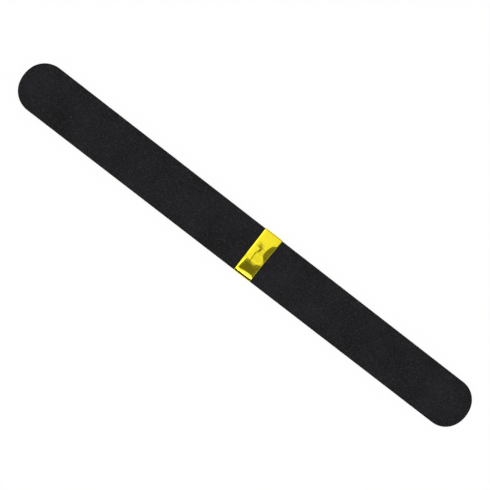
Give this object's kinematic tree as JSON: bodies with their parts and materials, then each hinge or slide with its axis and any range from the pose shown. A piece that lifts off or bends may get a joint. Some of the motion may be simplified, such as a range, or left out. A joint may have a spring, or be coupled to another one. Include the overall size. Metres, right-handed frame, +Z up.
{
  "type": "emery board",
  "caption": "Slim straight emery board with blunt rounded ends: a wooden core faced both sides with black abrasive paper, and a gold film band wrapped round its middle.",
  "frame": {"origin": "under the middle of the board's length and width, at the lowest face of the film band's lap, on which the board lies", "axes": "+X along the board, from its middle towards the side on which the band sits; +Y across the board; +Z up, out of the face without the lap"},
  "size_m": [0.178, 0.0166, 0.0024],
  "materials": {
    "core_wood": "raw sawn veneer, cut edge",
    "wood_glue": "thin dried glue line",
    "backing_paper": "dyed through, matte, cut edge",
    "bond_resin": "cured resin coat",
    "black_grit": "close-coated silicon carbide grains, matte with fine sparkle",
    "film_adhesive": "clear pressure-sensitive adhesive",
    "gold_film": "bright lemon-gold metallised film, softly creased"
  },
  "bodies": {
    "root": {"core": "core_wood", "upper_glue": "wood_glue", "upper_paper": "backing_paper", "upper_bond_coat": "bond_resin", "upper_grit": "black_grit", "lower_glue": "wood_glue", "lower_paper": "backing_paper", "lower_bond_coat": "bond_resin", "lower_grit": "black_grit", "band_glue": "film_adhesive", "foil_band": "gold_film"}
  },
  "joints": []
}
